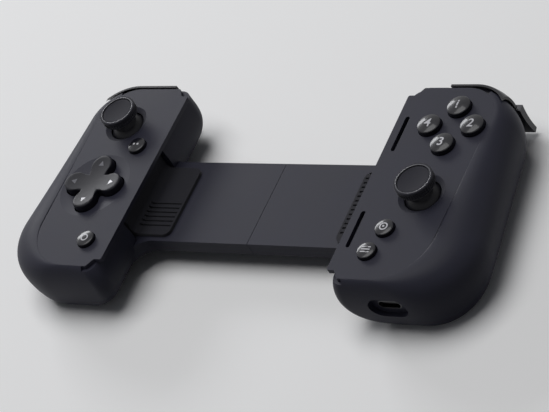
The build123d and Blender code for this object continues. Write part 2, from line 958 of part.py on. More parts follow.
def stick_arm(x, y):
    with BuildPart() as ring:
        add(rod_x(gimbal_pin_radius, x - gimbal_pin_end, x + gimbal_pin_end, y, stick_pivot))
        add(
            rod_z(
                gimbal_outer_radius, stick_pivot - gimbal_height / 2, stick_pivot + gimbal_height / 2, x, y
            )
        )
        add(
            rod_z(
                gimbal_inner_radius, stick_pivot - gimbal_height / 2, stick_pivot + gimbal_height / 2, x, y
            ),
            mode=Mode.SUBTRACT,
        )
        add(
            rod_y(
                gimbal_pin_radius + running_gap,
                y - gimbal_outer_radius,
                y + gimbal_outer_radius,
                x,
                stick_pivot,
            ),
            mode=Mode.SUBTRACT,
        )
    return ring.part


def stick_pivot_block(x, y):
    pin_end = gimbal_outer_radius - running_gap
    with BuildPart() as centre:
        with Locations((x, y, stick_pivot)):
            Box(pivot_block_size, pivot_block_size, pivot_block_height)
        add(rod_y(gimbal_pin_radius, y - pin_end, y + pin_end, x, stick_pivot))
        add(
            rod_z(shaft_radius + running_gap, stick_pivot - dome_radius, stick_pivot + dome_radius, x, y),
            mode=Mode.SUBTRACT,
        )
    return centre.part


def stick_shaft(x, y):
    cap_bottom = face_height + stick_top - cap_height
    hub_top = cap_bottom + cap_height - cap_skin
    inner_radius = dome_radius - dome_wall
    edge = math.radians(dome_edge_angle)
    neck_foot = stick_pivot + math.sqrt(inner_radius**2 - neck_base_radius**2)
    with BuildPart() as shaft:
        with BuildSketch(Plane.XZ) as dome:
            Circle(dome_radius)
            Circle(inner_radius, mode=Mode.SUBTRACT)
            with BuildLine():
                Polyline(
                    (0, 0),
                    (2 * dome_radius * math.sin(edge), 2 * dome_radius * math.cos(edge)),
                    (0, 2 * dome_radius),
                    close=True,
                )
            make_face(mode=Mode.INTERSECT)
        revolve(axis=Axis.Z)
        add(rod_z(shaft_radius, -foot_disc_drop, inner_radius + dome_wall / 2, 0, 0))
        add(rod_z(foot_disc_radius, -foot_disc_drop, foot_disc_height - foot_disc_drop, 0, 0))
        with BuildSketch(Plane.XZ):
            with BuildLine():
                Polyline(
                    (0, neck_foot - stick_pivot),
                    (neck_base_radius, neck_foot - stick_pivot),
                    (neck_top_radius, cap_bottom - stick_pivot),
                    (hub_radius, cap_bottom - stick_pivot),
                    (hub_radius, hub_top - stick_pivot),
                    (0, hub_top - stick_pivot),
                    close=True,
                )
            make_face()
        revolve(axis=Axis.Z)
    return Pos(x, y, stick_pivot) * shaft.part


def stick_cap(x, y):
    cap_bottom = face_height + stick_top - cap_height
    cap_top = face_height + stick_top
    hub_top = cap_top - cap_skin
    with BuildPart() as cap:
        add(rod_z(cap_radius, cap_bottom, cap_top, x, y))
        fillet(cap.edges().filter_by(GeomType.CIRCLE).sort_by(Axis.Z)[-1], radius=cap_rim / 2)
        fillet(cap.edges().filter_by(GeomType.CIRCLE).sort_by(Axis.Z)[0], radius=cap_rim)
        dish_reach = cap_radius - cap_rim
        dish_sphere = (dish_reach**2 + cap_dish**2) / (2 * cap_dish)
        with Locations((x, y, cap_top - cap_dish + dish_sphere)):
            Sphere(dish_sphere, mode=Mode.SUBTRACT)
        add(rod_z(hub_radius, cap_bottom, hub_top, x, y), mode=Mode.SUBTRACT)
    return cap.part


# Direction pad on its ball
with BuildPart() as dpad_ball:
    with Locations((dpad_x, dpad_y, ball_height)):
        Sphere(ball_radius)

with BuildPart() as dpad_pedestal:
    add(rod_z(pedestal_radius, board_top, ball_height - pedestal_drop, dpad_x, dpad_y))
    with Locations((dpad_x, dpad_y, ball_height)):
        Sphere(ball_radius + ball_gap, mode=Mode.SUBTRACT)

with BuildPart() as dpad:
    with BuildSketch(Plane.XY.offset(ball_height)):
        with Locations((dpad_x, dpad_y)):
            add(dpad_sketch(0))
    extrude(amount=face_height + dpad_proud - ball_height)
    with BuildSketch(Plane.XY.offset(ball_height)):
        with Locations((dpad_x, dpad_y)):
            add(dpad_sketch(dpad_skirt))
    extrude(amount=dpad_skirt_thickness)
    dpad_sphere = (dpad_half**2 + dpad_dish**2) / (2 * dpad_dish)
    with Locations((dpad_x, dpad_y, face_height + dpad_proud - dpad_dish + dpad_sphere)):
        Sphere(dpad_sphere, mode=Mode.SUBTRACT)
    with Locations((dpad_x, dpad_y, ball_height)):
        Sphere(ball_radius + ball_gap, mode=Mode.SUBTRACT)


# Shoulder keys, which wrap round the pod's far outer corner
bumper_outside = pod_form(-bumper_proud)

with BuildPart() as bumper_room:
    add(pod_form(-wrap_gap))
    add(
        block(
            (0, bumper_pocket_outer_x - seat_gap),
            (bumper_block_near_y, clear_y),
            (0, plate_bottom - flange_gap),
        ),
        mode=Mode.SUBTRACT,
    )


def bumper(side):
    with BuildPart() as key_form:
        add(bumper_outside)
        add(
            block(
                (bumper_inner_x(side), bumper_outer_x),
                (bumper_near_y, clear_y),
                (bumper_bottom, bumper_top),
            ),
            mode=Mode.INTERSECT,
        )
        add(bumper_room.part, mode=Mode.SUBTRACT)
        for x in bumper_stem_xs:
            add(rod_y(bumper_stem_radius, bumper_stem_end_y, bumper_block_near_y, x, bumper_stem_height))
    return key_form.part


with BuildPart() as corner_form:
    add(pod)
    add(
        block((bumper_pocket_outer_x - seat_gap, clear_x), (0, clear_y), (0, clear_z)),
        mode=Mode.INTERSECT,
    )

pod_corner = corner_form.part

trigger_pin = rod_x(
    trigger_pin_radius,
    trigger_inner_x - seat_gap - trigger_pin_grip,
    trigger_arm_outer_x + seat_gap + trigger_pin_grip,
    trigger_pin_y,
    trigger_pin_height,
)

trigger_plate_points = [
    (y, face_height - drop) for y, drop in (*trigger_outer_face, *trigger_inner_face)
]
arm_top = trigger_pin_height + trigger_barrel_radius
arm_bottom = trigger_pin_height - trigger_barrel_radius
arm_points = (
    (trigger_pin_y, arm_bottom),
    trigger_plate_points[4],
    trigger_plate_points[5],
    (trigger_pin_y, arm_top),
)

with BuildPart() as trigger:
    with BuildSketch(Plane.YZ.offset(trigger_inner_x)):
        with BuildLine():
            outer_curve = Spline(*trigger_plate_points[:3])
            Line(outer_curve @ 1, trigger_plate_points[3])
            inner_curve = Spline(*trigger_plate_points[3:])
            Line(inner_curve @ 1, outer_curve @ 0)
        make_face()
    extrude(amount=trigger_outer_x - trigger_inner_x)
    arm_starts = (trigger_inner_x, trigger_arm_outer_x - trigger_arm)
    for start in arm_starts:
        with BuildSketch(Plane.YZ.offset(start)):
            with BuildLine():
                Polyline(*arm_points, close=True)
            make_face()
        extrude(amount=trigger_arm)
    add(Pos(0, wrap_gap, 0) * pod_corner, mode=Mode.SUBTRACT)
    add(
        rod_x(
            trigger_barrel_radius, trigger_inner_x, trigger_arm_outer_x, trigger_pin_y, trigger_pin_height
        )
    )
    add(
        rod_x(
            trigger_pin_radius + running_gap,
            trigger_inner_x,
            trigger_arm_outer_x,
            trigger_pin_y,
            trigger_pin_height,
        ),
        mode=Mode.SUBTRACT,
    )

save(slide_plate.part, "slide_plate")
save(flex_cable.part, "flex_cable")
save(mount.part, "plug_mount")
save(phone_plug.part, "phone_plug")
save(port_shell.part, "charge_port_shell")
save(port_tongue.part, "charge_port_tongue")
save_for("left", dpad_ball.part, "dpad_pivot_ball")
save_for("left", dpad_pedestal.part, "dpad_pedestal")
save_for("left", dpad.part, "dpad")

for side in ("left", "right"):
    stick_place = stick_places[side]
    save_for(side, front_shell(side), f"{side}_front_shell")
    save_for(side, rear_shell(side), f"{side}_rear_shell")
    save_for(side, bridge_deck, f"{side}_bridge_deck")
    save_for(side, bridge_base.part, f"{side}_bridge_base")
    save_for(side, bridge_spring.part, f"{side}_spring")
    save_for(side, rest_pad(side), f"{side}_rest_pad")
    save_for(side, circuit_board(side), f"{side}_circuit_board")
    save_for(side, switches(side), f"{side}_switches")
    save_for(side, screws(), f"{side}_screws")
    save_for(side, stick_module(*stick_place), f"{side}_stick_module")
    save_for(side, stick_arm(*stick_place), f"{side}_stick_arm")
    save_for(side, stick_pivot_block(*stick_place), f"{side}_stick_pivot")
    save_for(side, stick_shaft(*stick_place), f"{side}_stick_shaft")
    save_for(side, stick_cap(*stick_place), f"{side}_stick_cap")
    save_for(side, bumper(side), f"{side}_bumper")
    save_for(side, trigger.part, f"{side}_trigger")
    save_for(side, trigger_pin, f"{side}_trigger_pin")
    for name, place in small_keys[side].items():
        save_for(side, key(small_key_radius, small_key_proud, small_key_dome, small_key_edge, *place), name)
    for name, place in large_keys[side].items():
        save_for(side, key(key_radius, key_proud, key_dome, key_edge, *place), name)
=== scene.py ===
import json
import math

import bmesh
import bpy
from mathutils import Matrix, Vector


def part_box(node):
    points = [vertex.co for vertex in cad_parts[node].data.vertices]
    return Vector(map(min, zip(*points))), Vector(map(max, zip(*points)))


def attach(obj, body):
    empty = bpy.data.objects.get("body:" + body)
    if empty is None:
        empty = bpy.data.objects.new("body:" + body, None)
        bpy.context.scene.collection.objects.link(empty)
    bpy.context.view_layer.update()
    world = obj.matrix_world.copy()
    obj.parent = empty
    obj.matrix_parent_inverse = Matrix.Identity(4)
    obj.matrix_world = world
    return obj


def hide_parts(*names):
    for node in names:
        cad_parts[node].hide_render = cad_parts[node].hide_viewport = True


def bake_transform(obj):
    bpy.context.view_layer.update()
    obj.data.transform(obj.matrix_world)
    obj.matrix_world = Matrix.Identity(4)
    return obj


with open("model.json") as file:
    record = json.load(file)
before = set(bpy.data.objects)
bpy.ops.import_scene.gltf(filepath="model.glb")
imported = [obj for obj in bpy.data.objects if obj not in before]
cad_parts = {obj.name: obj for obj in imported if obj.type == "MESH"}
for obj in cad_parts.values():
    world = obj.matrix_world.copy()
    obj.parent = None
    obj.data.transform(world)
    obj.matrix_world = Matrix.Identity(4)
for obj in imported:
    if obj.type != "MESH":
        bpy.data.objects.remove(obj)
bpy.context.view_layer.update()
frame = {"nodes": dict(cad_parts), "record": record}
nodes = frame["nodes"]
mm = 0.001

# The level of the pods' faces, which the solids give
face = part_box("right_front_shell")[1][2]


def middle(node):
    low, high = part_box(node)
    return (low[0] + high[0]) / 2, (low[1] + high[1]) / 2


# Camera: the photograph's own view, as a turn and a shift of the object in front of the lens
picture_width = 549
focal_pixels = 2391.28
sensor_width = 36.0
view_turn = Vector((2.358, 0.295, -0.723))
view_shift = Vector((-8.031, -10.554, 905.494)) * mm
turn = Matrix.Rotation(view_turn.length, 3, view_turn.normalized())
camera_place = Vector((0, 0, face)) - turn.transposed() @ view_shift
camera_axes = Matrix((turn[0], -turn[1], -turn[2])).transposed()
camera_data = bpy.data.cameras.new("camera")
camera_data.sensor_width = sensor_width
camera_data.lens = focal_pixels * sensor_width / picture_width
camera_data.clip_start = 0.05
camera_data.clip_end = 20.0
camera = bpy.data.objects.new("camera", camera_data)
bpy.context.scene.collection.objects.link(camera)
camera.matrix_world = Matrix.Translation(camera_place) @ camera_axes.to_4x4()
bpy.context.scene.camera = camera
bpy.context.scene.view_settings.view_transform = "Standard"

# Materials. Each has a fine relief in its surface, and its colour and roughness vary.
bevel_samples = 6
rough_spread = 0.05
ramp_places = (0.3, 0.7)
patch_shades = (0.9, 1.1)
line_shades = (0.85, 1.05)
brush_stretch = (1.0, 12.0, 12.0)


def new_material(name):
    made = bpy.data.materials.new(name)
    made.use_nodes = True
    tree = made.node_tree
    return made, tree, tree.nodes["Principled BSDF"]


def scaled(colour, amount):
    return (*[channel * amount for channel in colour], 1.0)


def noise(tree, size, detail, stretch=(1.0, 1.0, 1.0)):
    place = tree.nodes.new("ShaderNodeTexCoord")
    mapping = tree.nodes.new("ShaderNodeMapping")
    mapping.inputs["Scale"].default_value = stretch
    texture = tree.nodes.new("ShaderNodeTexNoise")
    texture.inputs["Scale"].default_value = 1.0 / size
    texture.inputs["Detail"].default_value = detail
    tree.links.new(place.outputs["Object"], mapping.inputs["Vector"])
    tree.links.new(mapping.outputs["Vector"], texture.inputs["Vector"])
    return texture


def ramp(tree, source, colour, shades):
    node = tree.nodes.new("ShaderNodeValToRGB")
    for element, place, shade in zip(node.color_ramp.elements, ramp_places, shades):
        element.position = place
        element.color = scaled(colour, shade)
    tree.links.new(source.outputs["Fac"], node.inputs["Fac"])
    return node


def finish_with(tree, shader, colour_node, rough_source, rough_range, bump_source, depth, edge=0.0):
    tree.links.new(colour_node.outputs["Color"], shader.inputs["Base Color"])
    rough = tree.nodes.new("ShaderNodeMapRange")
    rough.inputs["To Min"].default_value = rough_range[0]
    rough.inputs["To Max"].default_value = rough_range[1]
    tree.links.new(rough_source.outputs["Fac"], rough.inputs["Value"])
    tree.links.new(rough.outputs["Result"], shader.inputs["Roughness"])
    bump = tree.nodes.new("ShaderNodeBump")
    bump.inputs["Distance"].default_value = depth
    bump.inputs["Strength"].default_value = 1.0
    tree.links.new(bump_source.outputs["Fac"], bump.inputs["Height"])
    if edge > 0:
        bevel = tree.nodes.new("ShaderNodeBevel")
        bevel.samples = bevel_samples
        bevel.inputs["Radius"].default_value = edge
        tree.links.new(bevel.outputs["Normal"], bump.inputs["Normal"])
    tree.links.new(bump.outputs["Normal"], shader.inputs["Normal"])


def moulded(
    name, colour, rough, grain=0.35 * mm, depth=0.012 * mm, patch=18 * mm, edge=0.14 * mm, shine=0.14
):
    made, tree, shader = new_material(name)
    shader.inputs["Specular IOR Level"].default_value = shine
    fine = noise(tree, grain, detail=3.0)
    broad = noise(tree, patch, detail=4.0)
    colour_node = ramp(tree, broad, colour, patch_shades)
    rough_range = (rough - rough_spread, rough + rough_spread)
    finish_with(tree, shader, colour_node, broad, rough_range, fine, depth, edge)
    return made


def polished(name, colour, rough, coat):
    made = moulded(
        name, colour, rough, grain=1.4 * mm, depth=0.004 * mm, patch=6 * mm, edge=0.15 * mm, shine=0.12
    )
    shader = made.node_tree.nodes["Principled BSDF"]
    shader.inputs["Coat Weight"].default_value = coat
    shader.inputs["Coat Roughness"].default_value = 0.1
    return made


def soft_rubber(name, colour):
    made = moulded(name, colour, rough=0.72, grain=0.22 * mm, depth=0.02 * mm, patch=9 * mm)
    shader = made.node_tree.nodes["Principled BSDF"]
    shader.inputs["Sheen Weight"].default_value = 0.15
    shader.inputs["Sheen Roughness"].default_value = 0.5
    return made


def brushed(name, colour):
    made, tree, shader = new_material(name)
    lines = noise(tree, 0.4 * mm, detail=4.0, stretch=brush_stretch)
    colour_node = ramp(tree, lines, colour, line_shades)
    finish_with(tree, shader, colour_node, lines, (0.22, 0.38), lines, depth=0.004 * mm)
    shader.inputs["Metallic"].default_value = 1.0
    return made


def solder_mask(name, colour, copper):
    made, tree, shader = new_material(name)
    place = tree.nodes.new("ShaderNodeTexCoord")
    tracks = tree.nodes.new("ShaderNodeTexBrick")
    tracks.inputs["Scale"].default_value = 260.0
    tracks.inputs["Mortar Size"].default_value = 0.03
    tracks.inputs["Color1"].default_value = scaled(colour, 1.0)
    tracks.inputs["Color2"].default_value = scaled(colour, 1.25)
    tracks.inputs["Mortar"].default_value = scaled(copper, 1.0)
    tree.links.new(place.outputs["Object"], tracks.inputs["Vector"])
    fine = noise(tree, 0.6 * mm, detail=2.0)
    finish_with(tree, shader, tracks, fine, (0.25, 0.4), tracks, depth=0.02 * mm)
    return made


fine_grain = {"grain": 0.8 * mm, "depth": 0.004 * mm}
materials = {
    "shell": moulded("shell_plastic", (0.0162, 0.0165, 0.0270), rough=0.5),
    "deck": moulded("deck_plastic", (0.0168, 0.0171, 0.0275), rough=0.5),
    "pad": soft_rubber("pad_rubber", (0.007, 0.007, 0.011)),
    "key": polished("key_plastic", (0.005, 0.005, 0.0085), rough=0.3, coat=0.35),
    "cross": moulded("cross_plastic", (0.006, 0.006, 0.010), rough=0.4, **fine_grain),
    "stick": moulded("stick_plastic", (0.007, 0.007, 0.010), rough=0.42, **fine_grain),
    "grip": soft_rubber("grip_rubber", (0.012, 0.012, 0.018)),
    "shoulder": moulded("shoulder_plastic", (0.026, 0.026, 0.034), rough=0.38, shine=0.4),
    "plate": moulded("slide_plastic", (0.02, 0.02, 0.024), rough=0.42),
    "board": solder_mask("board_mask", (0.012, 0.07, 0.035), copper=(0.05, 0.16, 0.07)),
    "switch": moulded("switch_plastic", (0.02, 0.02, 0.02), rough=0.5),
    "steel": brushed("steel", (0.62, 0.62, 0.64)),
    "mount": moulded("mount_plastic", (0.018, 0.018, 0.02), rough=0.45),
    "tongue": moulded("tongue_plastic", (0.01, 0.01, 0.012), rough=0.4),
    "ribbon": moulded("ribbon_film", (0.24, 0.11, 0.025), rough=0.3, grain=0.8 * mm),
    "mark": moulded(
        "mark_ink", (0.55, 0.55, 0.58), rough=0.35, grain=0.3 * mm, depth=0.003 * mm, edge=0.0
    ),
    "inlay": polished("inlay_plastic", (0.12, 0.12, 0.14), rough=0.2, coat=0.6),
    # The stick-cap ring is coloured much lighter than the cap's rubber: a painted highlight standing in
    # for the edge highlight along the cap's rim
    "rim": polished("rim_painted_highlight", (0.06, 0.06, 0.075), rough=0.25, coat=0.7),
    # Metal for the charge port and phone plug, its colour darkened as painted shade for the shadow inside
    # the port's recess
    "port_metal_painted_shade": brushed("port_metal_painted_shade", (0.1, 0.1, 0.105)),
}
for entry in frame["record"]["subparts"]:
    for slot in nodes[entry["node"]].material_slots:
        slot.material = materials[entry["material_slot"]]
# The port and plug take the darkened metal: painted shade standing in for the shade in the recess
for node in ("charge_port_shell", "phone_plug"):
    nodes[node].material_slots[0].material = materials["port_metal_painted_shade"]

# Making pieces
weld_distance = 1e-7


def piece_from(name, bm, body, look, smooth=True):
    bmesh.ops.remove_doubles(bm, verts=bm.verts, dist=weld_distance)
    bmesh.ops.recalc_face_normals(bm, faces=bm.faces)
    mesh = bpy.data.meshes.new(name)
    bm.to_mesh(mesh)
    bm.free()
    if smooth:
        mesh.shade_smooth()
    else:
        mesh.shade_flat()
    mesh.materials.append(materials[look])
    made = bpy.data.objects.new(name, mesh)
    bpy.context.scene.collection.objects.link(made)
    if body is not None:
        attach(made, body)
    return made


def sharpen(piece, angle):
    edges = piece.modifiers.new("edge_split", "EDGE_SPLIT")
    edges.split_angle = math.radians(angle)


def join_rings(bm, rings, closed=False):
    followers = rings[1:] + rings[:1] if closed else rings[1:]
    for first, second in zip(rings, followers):
        for index in range(len(first)):
            following = (index + 1) % len(first)
            corners = [first[index], first[following], second[following], second[index]]
            unique = list(dict.fromkeys(corners))
            if len(unique) > 2:
                bm.faces.new(unique)


def lathe(name, rows, centre, body, look, segments):
    bm = bmesh.new()
    rings = []
    for radius, height, ribs, rib_depth in rows:
        if radius == 0:
            rings.append([bm.verts.new((centre[0], centre[1], height))] * segments)
            continue
        ring = []
        for index in range(segments):
            angle = 2 * math.pi * index / segments
            reach = radius - rib_depth * (0.5 + 0.5 * math.cos(ribs * angle)) if ribs else radius
            spot = (centre[0] + reach * math.cos(angle), centre[1] + reach * math.sin(angle), height)
            ring.append(bm.verts.new(spot))
        rings.append(ring)
    join_rings(bm, rings)
    return piece_from(name, bm, body, look)


def plain(rows):
    return [(radius, height, 0, 0) for radius, height in rows]


def arc(centre_radius, centre_height, radius, start, end, steps):
    spots = []
    for index in range(steps + 1):
        angle = math.radians(start + (end - start) * index / steps)
        spots.append((centre_radius + radius * math.cos(angle), centre_height + radius * math.sin(angle)))
    return spots


# Thumb-stick caps: a dished pad inside a groove and a thin rim, over a ribbed side
def stick_cap(side):
    node = f"{side}_stick_cap"
    body = f"{side}_stick"
    low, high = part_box(node)
    centre = middle(node)
    radius = (high[0] - low[0]) / 2
    bottom = low[2]
    top = high[2]
    bore = 2.8 * mm
    bore_top = top - 1.5 * mm
    foot = 1.0 * mm
    foot_inset = 1.1 * mm
    rib_inset = 0.05 * mm
    rib_low = bottom + 0.9 * mm
    rib_high = top - 1.05 * mm
    rib_rows = 5
    rib_count = 48
    rib_depth = 0.28 * mm
    rim = 0.5 * mm
    groove_width = 0.4 * mm
    groove_top = top - 0.4 * mm
    groove_bottom = top - 0.9 * mm
    groove_slant = 0.05 * mm
    groove_step = 0.1 * mm
    dish = 0.6 * mm
    dish_steps = 7
    dish_share = 0.97

    rows = plain([(0, bore_top), (bore, bore_top), (bore, bottom)])
    rows += plain(arc(radius - foot_inset, bottom + foot, foot, start=-90, end=-25, steps=4))
    for index in range(rib_rows):
        height = rib_low + (rib_high - rib_low) * index / (rib_rows - 1)
        depth = rib_depth if 0 < index < rib_rows - 1 else 0.0
        rows.append((radius - rib_inset, height, rib_count, depth))
    rows += plain(arc(radius - rim, top - rim, rim, start=0, end=150, steps=8))
    groove_outside = radius - 2 * rim
    groove_inside = groove_outside - groove_width
    pad_edge = groove_top - groove_step
    rows += plain([(groove_outside, groove_top), (groove_outside - groove_slant, groove_bottom)])
    rows += plain([(groove_inside + groove_slant, groove_bottom), (groove_inside, pad_edge)])
    for index in range(dish_steps + 1):
        share = dish_share * (1 - index / dish_steps)
        rows.append((groove_inside * share, groove_top - dish * (1 - share**2), 0, 0))
    cap = lathe(f"{side}_stick_grip", rows, centre, body, "grip", segments=288)
    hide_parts(node)
    sharpen(cap, 50)

    # A thin ring at the cap's rim whose material is lighter than the rubber, as a painted highlight along
    # the rim
    ring_half = 0.3 * mm
    ring_outset = 0.14 * mm
    ring_radius = groove_outside + ring_outset
    ring_rows = plain(arc(ring_radius, top - ring_half, ring_half, start=0, end=360, steps=16))
    lathe(f"{side}_stick_rim_painted_highlight", ring_rows, centre, body, "rim", segments=144)


for side in ("left", "right"):
    stick_cap(side)


# Keys with domed tops
def dome_height(distance, radius, top, rise):
    return top - rise * (distance / radius) ** 2


def domed_key(node, rise, edge):
    low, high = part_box(node)
    centre = middle(node)
    flange_reach = 0.7 * mm
    flange_drop = 1.9 * mm
    flange_thickness = 0.8 * mm
    stem = 1.3 * mm
    crown_steps = 8
    flange = (high[0] - low[0]) / 2
    radius = flange - flange_reach
    flange_top = face - flange_drop
    flange_bottom = flange_top - flange_thickness
    top = high[2]
    rows = [(0, low[2]), (stem, low[2]), (stem, flange_bottom), (flange, flange_bottom)]
    rows += [(flange, flange_top), (radius, flange_top)]
    crown = radius - edge
    shoulder = dome_height(crown, radius, top, rise)
    rows += arc(crown, shoulder - edge, edge, start=0, end=75, steps=6)
    for index in range(1, crown_steps + 1):
        distance = crown * (1 - index / crown_steps)
        rows.append((distance, dome_height(distance, radius, top, rise)))
    made = lathe(f"{node}_cap", plain(rows), centre, node, "key", segments=72)
    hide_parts(node)
    sharpen(made, 40)

    def height_at(x, y):
        return dome_height(math.hypot(x, y), radius, top, rise)

    return centre, height_at


# Marks on a curved top, whose level at x and y from its middle height_at gives
ink_lift = 0.03 * mm
ink_depth = 0.08 * mm


def flat_mark(name, outline_loops, centre, height_at, body, look):
    bm = bmesh.new()
    for loop in outline_loops:
        lower = []
        upper = []
        for x, y in loop:
            level = height_at(x, y)
            lower.append(bm.verts.new((centre[0] + x, centre[1] + y, level - ink_depth)))
            upper.append(bm.verts.new((centre[0] + x, centre[1] + y, level + ink_lift)))
        bm.faces.new(upper)
        bm.faces.new(list(reversed(lower)))
        join_rings(bm, [lower, upper])
    return piece_from(name, bm, body, look, smooth=False)


def bar(width, height, y, steps=6):
    loop = [(width * i / steps - width / 2, y - height / 2) for i in range(steps + 1)]
    loop += [(width / 2 - width * i / steps, y + height / 2) for i in range(steps + 1)]
    return loop


def disc(radius, x, steps=24):
    angles = [2 * math.pi * i / steps for i in range(steps)]
    return [(x + radius * math.cos(angle), radius * math.sin(angle)) for angle in angles]


def ring_mark(name, outer, inner, centre, height_at, body, steps=40):
    bm = bmesh.new()
    rings = []
    for radius, lift in ((outer, -ink_depth), (outer, ink_lift), (inner, ink_lift), (inner, -ink_depth)):
        ring = []
        for x, y in disc(radius, 0, steps):
            ring.append(bm.verts.new((centre[0] + x, centre[1] + y, height_at(x, y) + lift)))
        rings.append(ring)
    join_rings(bm, rings, closed=True)
    return piece_from(name, bm, body, "mark", smooth=False)


def number_mark(name, text, size, centre, height_at, body):
    curve = bpy.data.curves.new(name + "_curve", "FONT")
    curve.body = text
    curve.size = size
    curve.align_x = "CENTER"
    curve.align_y = "CENTER"
    curve.extrude = 0.05 * mm
    curve.offset = 0.06 * mm
    curve.resolution_u = 6
    holder = bpy.data.objects.new(name + "_holder", curve)
    mesh = bpy.data.meshes.new_from_object(holder)
    bm = bmesh.new()
    bm.from_mesh(mesh)
    bpy.data.objects.remove(holder)
    bpy.data.meshes.remove(mesh)
    bmesh.ops.remove_doubles(bm, verts=bm.verts, dist=weld_distance)
    bmesh.ops.subdivide_edges(bm, edges=bm.edges, cuts=1, use_grid_fill=False)
    middle_x = (min(v.co.x for v in bm.verts) + max(v.co.x for v in bm.verts)) / 2
    middle_y = (min(v.co.y for v in bm.verts) + max(v.co.y for v in bm.verts)) / 2
    raised_above = 0.01 * mm
    for vertex in bm.verts:
        x = vertex.co.x - middle_x
        y = vertex.co.y - middle_y
        lift = ink_lift if vertex.co.z > raised_above else -ink_depth
        vertex.co = (centre[0] + x, centre[1] + y, height_at(x, y) + lift)
    return piece_from(name, bm, body, "mark", smooth=False)


numbers = {"far_button": "1", "outer_button": "2", "near_button": "3", "inner_button": "4"}
for node, text in numbers.items():
    centre, height_at = domed_key(node, rise=0.75 * mm, edge=0.55 * mm)
    number_mark(f"{node}_number", text, 5.4 * mm, centre, height_at, node)

for node in ("menu_button", "options_button", "share_button", "capture_button"):
    centre, height_at = domed_key(node, rise=0.45 * mm, edge=0.4 * mm)
    if node == "menu_button":
        bars = [bar(width=3.6 * mm, height=0.5 * mm, y=offset * mm) for offset in (-1.1, 0, 1.1)]
        flat_mark(f"{node}_mark", bars, centre, height_at, node, "mark")
    elif node == "options_button":
        ring_mark(f"{node}_ring", 1.7 * mm, 1.2 * mm, centre, height_at, node)
        flat_mark(f"{node}_dot", [disc(0.45 * mm, 0)], centre, height_at, node, "mark")
    elif node == "share_button":
        dots = [disc(0.5 * mm, x=offset * mm) for offset in (-0.9, 0.9)]
        flat_mark(f"{node}_mark", dots, centre, height_at, node, "mark")
    else:
        ring_mark(f"{node}_mark", 1.6 * mm, 1.1 * mm, centre, height_at, node)


# Direction pad: lobed outline, rounded edge and a dished top
def lobe_reach(angle, half, lobe, arm):
    turned = abs((angle + math.pi / 4) % (math.pi / 2) - math.pi / 4)
    offset = half - lobe
    across = offset * math.sin(turned)
    reaches = []
    if across < lobe:
        reaches.append(offset * math.cos(turned) + math.sqrt(lobe**2 - across**2))
    if offset * math.tan(turned) >= arm:
        reaches.append(arm / math.sin(turned))
    return max(reaches)


def pointer_outline(turned):
    half_width = 1.25 * mm
    front = half_width * 1.1
    back = -half_width * 0.7
    place = 9.1 * mm
    corners = [Vector((front, 0)), Vector((back, half_width)), Vector((back, -half_width))]
    outline = []
    for start, end in zip(corners, corners[1:] + corners[:1]):
        for share in (0, 1 / 3, 2 / 3):
            x, y = start.lerp(end, share) + Vector((place, 0))
            outline.append(
                (
                    x * math.cos(turned) - y * math.sin(turned),
                    x * math.sin(turned) + y * math.cos(turned),
                )
            )
    return outline


def direction_pad():
    node = "dpad"
    low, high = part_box(node)
    centre = middle(node)
    top = high[2]
    skirt = 1.0 * mm
    skirt_top = low[2] + 0.9 * mm
    half = (high[0] - low[0]) / 2 - skirt
    lobe = 4.7 * mm
    arm = lobe * 0.86
    dish = 1.2 * mm
    sphere = (half**2 + dish**2) / (2 * dish)
    edge = 0.7 * mm
    edge_steps = 5
    crown_shares = (0.92, 0.8, 0.65, 0.5, 0.35, 0.2, 0.08)
    segments = 240
    angles = [2 * math.pi * index / segments for index in range(segments)]
    sharp = [lobe_reach(angle, half, lobe, arm) for angle in angles]
    reaches = [(sharp[i - 1] + 2 * sharp[i] + sharp[(i + 1) % segments]) / 4 for i in range(segments)]
    bm = bmesh.new()
    rings = []

    def dished(distance):
        return top - dish + sphere - math.sqrt(sphere**2 - distance**2)

    def ring(distances, levels):
        verts = []
        for angle, distance, level in zip(angles, distances, levels):
            x = centre[0] + distance * math.cos(angle)
            y = centre[1] + distance * math.sin(angle)
            verts.append(bm.verts.new((x, y, level)))
        rings.append(verts)

    for outset, level in ((skirt, low[2]), (skirt, skirt_top), (0, skirt_top)):
        ring([reach + outset for reach in reaches], [level] * segments)
    edge_levels = [dished(reach - edge) for reach in reaches]
    for step in range(edge_steps + 1):
        turned = step / edge_steps * math.pi / 2
        inset = edge * (1 - math.cos(turned))
        drop = edge * (1 - math.sin(turned))
        ring([reach - inset for reach in reaches], [level - drop for level in edge_levels])
    for share in crown_shares:
        distances = [(reach - edge) * share for reach in reaches]
        ring(distances, [dished(distance) for distance in distances])
    join_rings(bm, rings)
    bm.faces.new(rings[-1])
    bm.faces.new(list(reversed(rings[0])))
    pad = piece_from("direction_pad_cap", bm, "dpad", "cross")
    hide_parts(node)
    sharpen(pad, 45)
    for name, angle in (("far", 90), ("near", -90), ("outer", 180), ("inner", 0)):
        outline = pointer_outline(math.radians(angle))
        flat_mark(
            f"direction_pad_{name}_pointer",
            [outline],
            centre,
            lambda x, y: dished(math.hypot(x, y)),
            "dpad",
            "inlay",
        )


direction_pad()


# Bridge springs as coils, each stretched between the carriage and its pod
def tube_along(name, spots, radius, body, look, sides=8):
    bm = bmesh.new()
    rings = []
    for index, spot in enumerate(spots):
        ahead = spots[min(index + 1, len(spots) - 1)] - spots[max(index - 1, 0)]
        across = ahead.normalized().cross(Vector((1, 0, 0))).normalized()
        other = ahead.normalized().cross(across)
        ring = []
        for side_index in range(sides):
            angle = 2 * math.pi * side_index / sides
            ring.append(bm.verts.new(spot + radius * (across * math.cos(angle) + other * math.sin(angle))))
        rings.append(ring)
    join_rings(bm, rings)
    bm.faces.new(rings[-1])
    bm.faces.new(list(reversed(rings[0])))
    return piece_from(name, bm, body, look)


